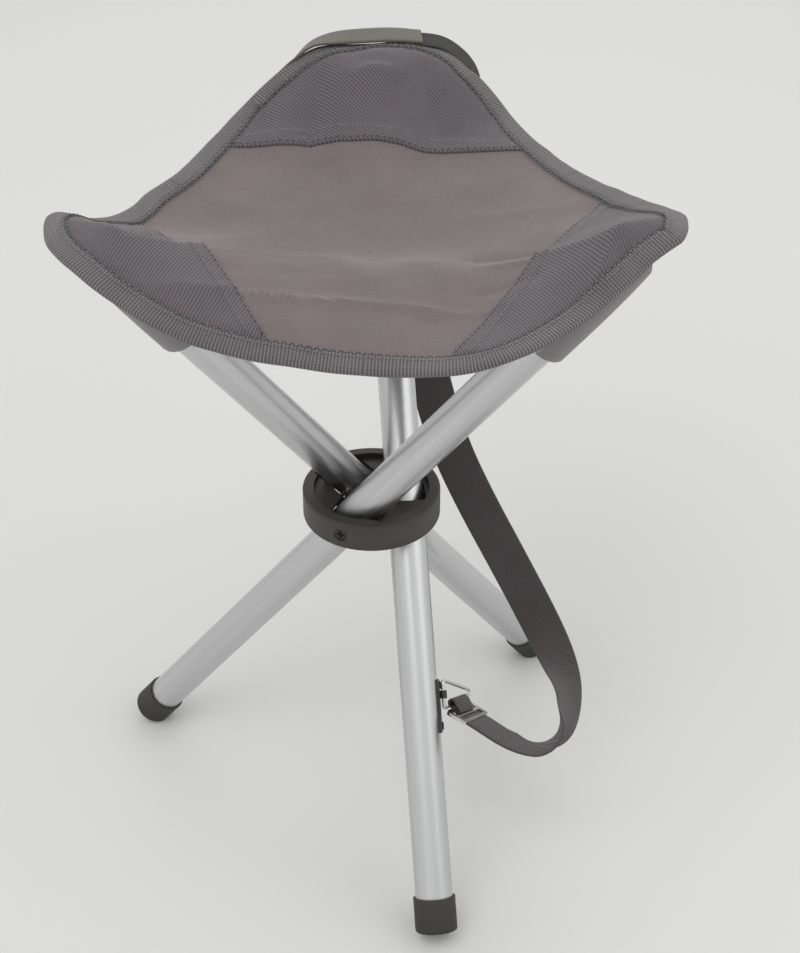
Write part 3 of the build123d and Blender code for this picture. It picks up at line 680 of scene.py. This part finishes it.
def edge_at(angle):
    """The outline's point at this azimuth, as radius and height."""
    first = EDGE_ANGLES[0]
    turned = first + (angle - first) % (2 * math.pi)
    angles = np.append(EDGE_ANGLES, first + 2 * math.pi)
    radii = np.append(np.hypot(EDGE_LINE[:, 0], EDGE_LINE[:, 1]), math.hypot(*EDGE_LINE[0, :2]))
    heights = np.append(EDGE_LINE[:, 2], EDGE_LINE[0, 2])
    return float(np.interp(turned, angles, radii)), float(np.interp(turned, angles, heights))


def plate_kernel(distance):
    safe = np.maximum(distance, 1e-9)
    return safe ** 2 * np.log(safe)


def plate_through(points):
    """Weights of the smoothest plate through points in space."""
    spots = np.array(points)
    flat = spots[:, :2]
    apart = np.linalg.norm(flat[:, None] - flat[None], axis=2)
    count = len(spots)
    system = np.zeros((count + 3, count + 3))
    system[:count, :count] = plate_kernel(apart) + np.eye(count) * 2e-6
    system[:count, count] = 1
    system[:count, count + 1:] = flat
    system[count:, :count] = system[:count, count:].T
    right = np.concatenate([spots[:, 2], np.zeros(3)])
    return flat, np.linalg.solve(system, right)


PLATE_SPOTS, PLATE_WEIGHTS = plate_through(OUTLINE + INSIDE)


def plate_height(x, y):
    apart = np.hypot(PLATE_SPOTS[:, 0] - x, PLATE_SPOTS[:, 1] - y)
    count = len(PLATE_SPOTS)
    plain = PLATE_WEIGHTS[count] + PLATE_WEIGHTS[count + 1] * x + PLATE_WEIGHTS[count + 2] * y
    return float(PLATE_WEIGHTS[:count] @ plate_kernel(apart) + plain)


def crease_height(x, y):
    """How far the creases lift or lower the fabric here."""
    lift = 0.0
    for points, high, wide in CREASES:
        reach = len(points) - 1
        best = 1.0
        where = 0.0
        for k, (p, q) in enumerate(zip(points[:-1], points[1:])):
            dx, dy = q[0] - p[0], q[1] - p[1]
            t = ((x - p[0]) * dx + (y - p[1]) * dy) / (dx * dx + dy * dy)
            t = min(max(t, 0.0), 1.0)
            apart = math.hypot(x - p[0] - t * dx, y - p[1] - t * dy)
            if apart < best:
                best = apart
                where = (k + t) / reach
        fade = min(1.0, 3.5 * min(where + 0.12, 1.12 - where))
        lift += high * fade * math.exp(-math.sqrt((best / wide) ** 2 + 0.06) * 1.3)
    return lift


def smooth_max(a, b, blend):
    return 0.5 * (a + b + math.sqrt((a - b) ** 2 + blend ** 2))


def seat_height(x, y):
    """The fabric's upper side: the draped plate, its creases, and a ridge over each tube."""
    height = plate_height(x, y) + crease_height(x, y)
    for letter in LETTERS:
        a = math.radians(TURN[letter])
        pivot = PIVOT[letter]
        outward = math.hypot(pivot.x, pivot.y)
        aside = x * math.cos(a) + y * math.sin(a) - math.sqrt(max(outward ** 2 - PIVOT_SHIFT ** 2, 0.0))
        along = -x * math.sin(a) + y * math.cos(a)
        if along > TENT_FROM:
            axis = pivot.z + (along + PIVOT_SHIFT) / math.tan(LEAN)
            ridge = min(axis + TENT_GAP, TENT_TOP) - TENT_DROP * max(along - TENT_END, 0.0)
            drop = TENT_SLOPE * (math.hypot(aside, TENT_ROUND) - TENT_ROUND)
            height = smooth_max(height, ridge - drop, TENT_BLEND)
    ripple = noise.noise(Vector((x * 38, y * 38, 0.3))) * 0.0007
    return height + ripple


HEIGHTS = {}


def seat_point(angle, radius, lift=0.0):
    key = (round(angle, 6), round(radius, 6))
    if key not in HEIGHTS:
        x = radius * math.cos(angle)
        y = radius * math.sin(angle)
        edge, edge_height = edge_at(angle)
        covered = (radius - edge + TAPE_WIDTH) / TAPE_WIDTH
        if covered > 0.0:
            inner = edge - TAPE_WIDTH
            start = seat_height(inner * math.cos(angle), inner * math.sin(angle))
            HEIGHTS[key] = (x, y, start + (edge_height - start) * min(covered, 1.0))
        else:
            HEIGHTS[key] = (x, y, seat_height(x, y))
    x, y, z = HEIGHTS[key]
    return Vector((x, y, z + lift))


def seat_normal(angle, radius):
    step = 0.0015
    p = seat_point(angle, radius)
    q = seat_point(angle, radius + step)
    r = seat_point(angle + step / max(radius, 0.02), radius)
    return (q - p).cross(r - p).normalized()


def bend(piece):
    """Bakes the piece's placement into its mesh; the fabric is not bent with, or attached to, the hub or a leg.
    The real fabric is held by the hub's middle on one side and by a leg on the other.
    """
    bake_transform(piece)


SECTOR = math.radians(60)


def hem_distance(angle, letter, inset=0.0):
    """Radius at which the corner's seam, or a line beside it, crosses this azimuth."""
    turn = angle - corner_angle(letter)
    return (HEM_AT[letter] + inset) / max(math.cos(turn), 0.2)


def main_panel(letter):
    """A third of the main panel, from the middle to the corner's hem and the tape."""
    middle = corner_angle(letter)
    rays = 76
    rings = 44
    points = []
    normals = []
    uvs = []
    for i in range(rings + 1):
        share = max(i / rings, 0.004)
        for j in range(rays + 1):
            angle = middle - SECTOR + 2 * SECTOR * j / rays
            edge, _ = edge_at(angle)
            limit = min(hem_distance(angle, letter, 0.006), edge - 0.003)
            point = seat_point(angle, share * limit)
            points.append(point)
            normals.append(seat_normal(angle, share * limit))
            uvs.append((point.x, point.y))
    piece = cloth_shell("seat_panel_" + letter, points, normals, rings + 1, rays + 1, uvs, FABRIC_THICK)
    use(piece, SEAT_FABRIC)
    bend(piece)
    return piece


def corner_rays(letter, count):
    """Azimuths over which the corner panel runs, from tape to tape."""
    middle = corner_angle(letter)
    ends = []
    for side in (-1, 1):
        angle = middle
        while hem_distance(angle, letter) < edge_at(angle)[0] - 0.006:
            angle += side * math.radians(0.25)
        ends.append(angle)
    return [ends[0] + (ends[1] - ends[0]) * j / count for j in range(count + 1)]


def hem_lift(past):
    """The folded hem stands a little higher than the panel, this far past the seam."""
    inside = min(max(past / 0.0008, 0.0), 1.0)
    outside = min(max((HEM_WIDE - past) / 0.0012, 0.0), 1.0)
    return 0.0007 * min(inside, outside)


def corner_panel(letter):
    """The coarser fabric over a corner, with its folded hem over the main panel."""
    away = flat_direction(corner_angle(letter))
    angles = corner_rays(letter, 64)
    shares = [0.0, 0.012, 0.03, 0.07, 0.12, 0.15, 0.17, 0.19, 0.22]
    shares += [0.22 + 0.78 * (k + 1) / 26 for k in range(26)]
    turn = corner_angle(letter)
    points = []
    uvs = []
    for share in shares:
        for angle in angles:
            start = hem_distance(angle, letter)
            stop = max(edge_at(angle)[0] - 0.003, start + 0.001)
            radius = start + share * (stop - start)
            flat = Vector((radius * math.cos(angle), radius * math.sin(angle), 0))
            under_tape = min(max((edge_at(angle)[0] - TAPE_WIDTH - radius) / 0.003, 0.0), 1.0)
            lift = 0.0003 + (0.0008 + hem_lift(flat.dot(away) - HEM_AT[letter])) * under_tape
            if share == 0.0:
                lift = 0.0001
            point = seat_point(angle, radius, lift)
            points.append(point)
            uvs.append((point.x * math.cos(turn) + point.y * math.sin(turn),
                        -point.x * math.sin(turn) + point.y * math.cos(turn)))
    piece = link_mesh("corner_fabric_" + letter, points, grid_faces(len(shares), len(angles)), uvs)
    thicken(piece, FABRIC_THICK, -1.0)
    use(piece, CORNER_FABRICS[letter])
    bend(piece)
    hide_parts("corner_panel_" + letter)
    return piece


def hem_stitches(letter):
    """Two rows of stitches along a corner's hem."""
    angles = corner_rays(letter, 400)
    rows = []
    for inset, lift in ((0.0016, 0.0018), (HEM_WIDE - 0.0018, 0.0018)):
        spots = []
        previous = None
        travelled = 0.0
        for angle in angles:
            radius = hem_distance(angle, letter, inset)
            if radius > edge_at(angle)[0] - TAPE_WIDTH:
                continue
            point = seat_point(angle, radius, lift)
            if previous is not None:
                travelled += (point - previous).length
                if travelled > 0.0036:
                    travelled = 0.0
                    along = (point - previous).normalized()
                    spots.append((point, along, seat_normal(angle, radius)))
            previous = point
        rows.append(spots)
    pieces = []
    for label, spots, look in (("inner", rows[0], DARK_THREAD), ("outer", rows[1], LIGHT_THREAD)):
        piece = stitches("hem_stitches_" + label + "_" + letter, spots, 0.0027, 0.00028)
        use(piece, look)
        bend(piece)
        pieces.append(piece)
    return pieces


TAPE_SECTION = [
    (-1.0, 0.0), (-1.0, 0.0009), (-0.97, 0.0014), (-0.9, 0.00165), (-0.6, 0.0016), (-0.25, 0.0016),
    (-0.06, 0.0014), (0.02, 0.0008), (0.05, -0.0004), (0.02, -0.0016), (-0.06, -0.0022),
    (-0.25, -0.0024), (-0.6, -0.0024), (-0.9, -0.0025), (-0.98, -0.0022), (-1.0, -0.0015),
]


def tape_frame(angle):
    """The tape's outer and inner points and its normal at this azimuth."""
    radius, height = edge_at(angle)
    outer = Vector((radius * math.cos(angle), radius * math.sin(angle), height))
    step = 0.004
    r_next, z_next = edge_at(angle + step)
    r_last, z_last = edge_at(angle - step)
    after = Vector((r_next * math.cos(angle + step), r_next * math.sin(angle + step), z_next))
    before = Vector((r_last * math.cos(angle - step), r_last * math.sin(angle - step), z_last))
    along = (after - before).normalized()
    inward = Vector((-along.y, along.x, 0.0)).normalized()
    inner_flat = outer + inward * TAPE_WIDTH
    inner_angle = math.atan2(inner_flat.y, inner_flat.x)
    inner = seat_point(inner_angle, math.hypot(inner_flat.x, inner_flat.y))
    across = (outer - inner)
    across = (across - along * across.dot(along)).normalized()
    normal = across.cross(along).normalized()
    return outer, across, normal, along


def tape_point(angle, across_share, lift):
    outer, across, normal, _ = tape_frame(angle)
    return outer + across * (across_share * TAPE_WIDTH) + normal * lift


def binding(letter, replaced):
    """The tape folded round the edge, from one side's middle past a corner to the next."""
    middle = corner_angle(letter)
    count = 200
    points = []
    uvs = []
    travelled = 0.0
    previous = None
    for i in range(count + 1):
        angle = middle - SECTOR + 2 * SECTOR * i / count
        outer, across, normal, _ = tape_frame(angle)
        if previous is not None:
            travelled += (outer - previous).length
        previous = outer
        waver = noise.noise(outer * 60) * 0.0005
        for share, lift in TAPE_SECTION:
            point = outer + across * (share * TAPE_WIDTH + waver) + normal * (lift + waver * 0.3)
            points.append(point)
            uvs.append((travelled, share * TAPE_WIDTH + lift))
    columns = len(TAPE_SECTION)
    faces = grid_faces(count + 1, columns, closed_columns=True)
    faces.append(tuple(reversed(range(columns))))
    faces.append(tuple(count * columns + k for k in range(columns)))
    piece = link_mesh("binding_" + letter, points, faces, uvs)
    use(piece, TAPE)
    bend(piece)
    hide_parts(replaced)
    return piece


def tape_stitches(letter):
    """A straight light row and a dark zigzag along the tape's inner edge."""
    middle = corner_angle(letter)
    straight = []
    zigzag = []
    travelled = 0.0
    since = 0.0
    side = 1
    previous = tape_point(middle - SECTOR, -0.74, 0.0019)
    steps = 1800
    for i in range(1, steps):
        angle = middle - SECTOR + 2 * SECTOR * i / steps
        point = tape_point(angle, -0.74, 0.0019)
        moved = (point - previous).length
        travelled += moved
        since += moved
        previous = point
        if travelled > 0.0034:
            travelled = 0.0
            _, across, normal, along = tape_frame(angle)
            straight.append((point, along, normal))
        if since > 0.0019:
            since = 0.0
            side = -side
            _, across, normal, along = tape_frame(angle)
            slant = (along + across * (0.9 * side)).normalized()
            zigzag.append((tape_point(angle, -0.93, 0.0016), slant, normal))
    pieces = []
    rows = (("row", straight, LIGHT_THREAD, 0.0026), ("zigzag", zigzag, DARK_THREAD, 0.0027))
    for label, spots, look, long in rows:
        piece = stitches("tape_" + label + "_" + letter, spots, long, 0.00027)
        use(piece, look)
        bend(piece)
        pieces.append(piece)
    return pieces


# ---------------------------------------------------------------- pockets
POCKET_EDGE_AT = 0.137      # where the pocket's open edge meets the tapes, along the corner's direction
POCKET_MOUTH = 0.181        # along the leg, at the tube
POCKET_GAP = 0.0038


def outline_at(letter, along, side):
    """The outline's point this far along the corner's direction, on one side."""
    middle = corner_angle(letter)
    angle = middle
    away = flat_direction(middle)
    step = math.radians(0.2) * side
    while True:
        radius, height = edge_at(angle)
        point = Vector((radius * math.cos(angle), radius * math.sin(angle), height))
        if abs(angle - middle) > math.radians(6) and point.dot(away) <= along:
            return angle, point
        angle += step


def pocket(letter):
    """The fabric under a corner that holds the tube: sewn to both tapes and slung round the tube."""
    middle = corner_angle(letter)
    a = math.radians(TURN[letter])
    outward = Vector((math.cos(a), math.sin(a), 0))
    under = leg_direction(letter).cross(outward).normalized()
    if under.z > 0:
        under = -under
    ends = {}
    for side in (-1, 1):
        ends[side] = outline_at(letter, POCKET_EDGE_AT, side)[0]
    rows = 16
    lines = []
    for i in range(rows + 1):
        share = i / rows
        length = TUBE_END - 0.001 + (POCKET_MOUTH - TUBE_END) * share
        centre = leg_point(letter, length)
        hull = TUBE_RADIUS + POCKET_GAP * (1 - 0.5 * (1 - share) ** 3)
        arc = []
        for k in range(13):
            turn = math.radians(-84 + 14 * k)
            arc.append(centre + (under * math.cos(turn) + outward * math.sin(turn)) * hull)
        sides = {}
        for side in (-1, 1):
            angle = middle + (ends[side] - middle) * (0.10 + 0.90 * share)
            sides[side] = tape_point(angle, -0.62, -0.0026)
        if (arc[0] - sides[1]).length > (arc[0] - sides[-1]).length:
            first, last = sides[-1], sides[1]
        else:
            first, last = sides[1], sides[-1]
        row = []
        for end, near in ((first, arc[0]), (last, arc[-1])):
            wall = []
            for k in range(10):
                t = k / 10
                sag = math.sin(math.pi * t) * 0.0022 * share
                wall.append(end.lerp(near, t) - Vector((0, 0, sag)))
            row.append(wall)
        lines.append(row[0] + arc + row[1][::-1])
        if i == 0:
            order = (-1, 1) if first is sides[-1] else (1, -1)
    columns = len(lines[0])
    rim = []
    for k in range(columns):
        turn = order[0] * (1 - 2 * k / (columns - 1))
        angle = middle + abs(turn) * 0.10 * (ends[1 if turn > 0 else -1] - middle)
        rim.append(tape_point(angle, -0.62, -0.0026))
    cap = []
    for t in (0.0, 0.25, 0.5, 0.75, 0.92):
        cap.append([a.lerp(b, t) for a, b in zip(rim, lines[0])])
    lines = cap + lines
    points = [point for line in lines for point in line]
    uvs = [(point.x, point.y) for point in points]
    piece = link_mesh("pocket_" + letter, points, grid_faces(len(lines), columns), uvs)
    thicken(piece, 0.0007, 0.0)
    use(piece, POCKET_FABRIC)
    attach(piece, "leg_" + letter)
    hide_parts("corner_pocket_" + letter)
    return piece


# ---------------------------------------------------------------- tie strap
def tie_piece(name, route, look, node):
    half = TIE_WIDTH / 2
    points = spline_points([Vector(p) for p, _ in route], 10)
    edge = spline_points([Vector(p) + Vector(across).normalized() * half for p, across in route], 10)
    widths = [outer - inner for outer, inner in zip(edge, points)]
    piece = ribbon(name, points, widths, TIE_WIDTH, 0.0017)
    use(piece, look)
    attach(piece, "leg_a")
    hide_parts(node)
    return piece


# ---------------------------------------------------------------- strap hardware
def strap_end_loop():
    """The strap's end: narrowed webbing round the ring's lower side, sewn flat."""
    low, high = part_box("strap_loop")
    middle = (low + high) / 2
    slider_low, slider_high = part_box("strap_slider")
    slider = (slider_low + slider_high) / 2
    away = (slider - middle).normalized()
    across = Vector((0.60, 0.67, -0.43))
    across = (across - away * across.dot(away)).normalized()
    normal = away.cross(across)
    path = []
    reach = (slider - middle).length
    radius = 0.0021
    for k in range(13):
        turn = math.radians(-90 - 180 * k / 12)
        path.append(middle + away * (radius * math.cos(turn)) - normal * (radius * math.sin(turn)))
    upper = [path[0] + away * (reach * t) - normal * (0.0012 * t) for t in (0.85, 0.6, 0.3)]
    lower = [path[-1] + away * (reach * t) + normal * (0.0009 * t) for t in (0.3, 0.6, 0.85)]
    line = upper + path + lower
    piece = ribbon("strap_end_loop", line, [across] * len(line), 0.0175, 0.0012)
    use(piece, WEBBING)
    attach(piece, "leg_a")
    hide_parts("strap_loop")
    return piece


def round_edges(node, width):
    bevel = frame["nodes"][node].modifiers.new("soft_edges", "BEVEL")
    bevel.width = width
    bevel.segments = 2
    bevel.limit_method = "ANGLE"


# ---------------------------------------------------------------- make the soft pieces
panels = {letter: main_panel(letter) for letter in LETTERS}
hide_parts("seat_panel")
corners = {letter: corner_panel(letter) for letter in LETTERS}
REPLACED_TAPE = {"a": "edge_binding_ac", "b": "edge_binding_ba", "c": "edge_binding_cb"}
for letter in LETTERS:
    binding(letter, REPLACED_TAPE[letter])
hem_rows = {letter: hem_stitches(letter) for letter in LETTERS}
for letter in LETTERS:
    tape_stitches(letter)
pockets = {letter: pocket(letter) for letter in LETTERS}
tie_piece("tie_strap_loop_tape", TIE_LOOP, LOOP_TAPE, "tie_strap_loop_side")
tie_piece("tie_strap_hook_tape", TIE_HOOK, HOOK_TAPE, "tie_strap_hook_side")
end_loop = strap_end_loop()

# ---------------------------------------------------------------- finishes of the CAD pieces
for letter in LETTERS:
    use(frame["nodes"]["leg_tube_" + letter], satin_tube(letter))
    use(frame["nodes"]["foot_cap_" + letter], FOOT_RUBBER)
    use(frame["nodes"]["tube_plug_" + letter], PLUG_PLASTIC)
    use(frame["nodes"]["pivot_screw_" + letter], BLACK_SCREW)
    use(frame["nodes"]["hub_closing_screw_" + letter], BLACK_SCREW)
for half in ("hub_upper_half", "hub_lower_half"):
    use(frame["nodes"][half], HUB_PLASTIC)
for node in ("strap_bracket", "bracket_rivet_lower", "bracket_rivet_upper"):
    use(frame["nodes"][node], BRACKET_METAL)
for node in ("strap_ring", "strap_slider"):
    use(frame["nodes"][node], BRIGHT_WIRE)
round_edges("strap_slider", 0.0005)


# ---------------------------------------------------------------- stage
def make_stage():
    bpy.ops.mesh.primitive_plane_add(size=12)
    floor = bpy.context.object
    floor.name = "floor"
    use(floor, FLOOR)
    world = bpy.data.worlds.new("studio")
    world.use_nodes = True
    sky = world.node_tree.nodes["Background"]
    sky.inputs["Color"].default_value = (1.0, 1.0, 1.0, 1.0)
    sky.inputs["Strength"].default_value = 0.785
    bpy.context.scene.world = world
    bpy.context.scene.view_settings.view_transform = "Standard"
    lamps = [("key", (-0.9, -0.9, 1.9), 1.4, 10.0), ("fill", (1.3, -0.6, 1.3), 1.6, 5.0),
             ("back", (0.3, 1.5, 1.6), 1.4, 5.0)]
    for name, spot, size, power in lamps:
        data = bpy.data.lights.new(name, "AREA")
        data.size = size
        data.energy = power
        lamp = bpy.data.objects.new(name, data)
        bpy.context.scene.collection.objects.link(lamp)
        lamp.location = spot
        aim = Vector((0, 0, 0.25)) - Vector(spot)
        lamp.rotation_euler = aim.to_track_quat("-Z", "Y").to_euler()


make_stage()
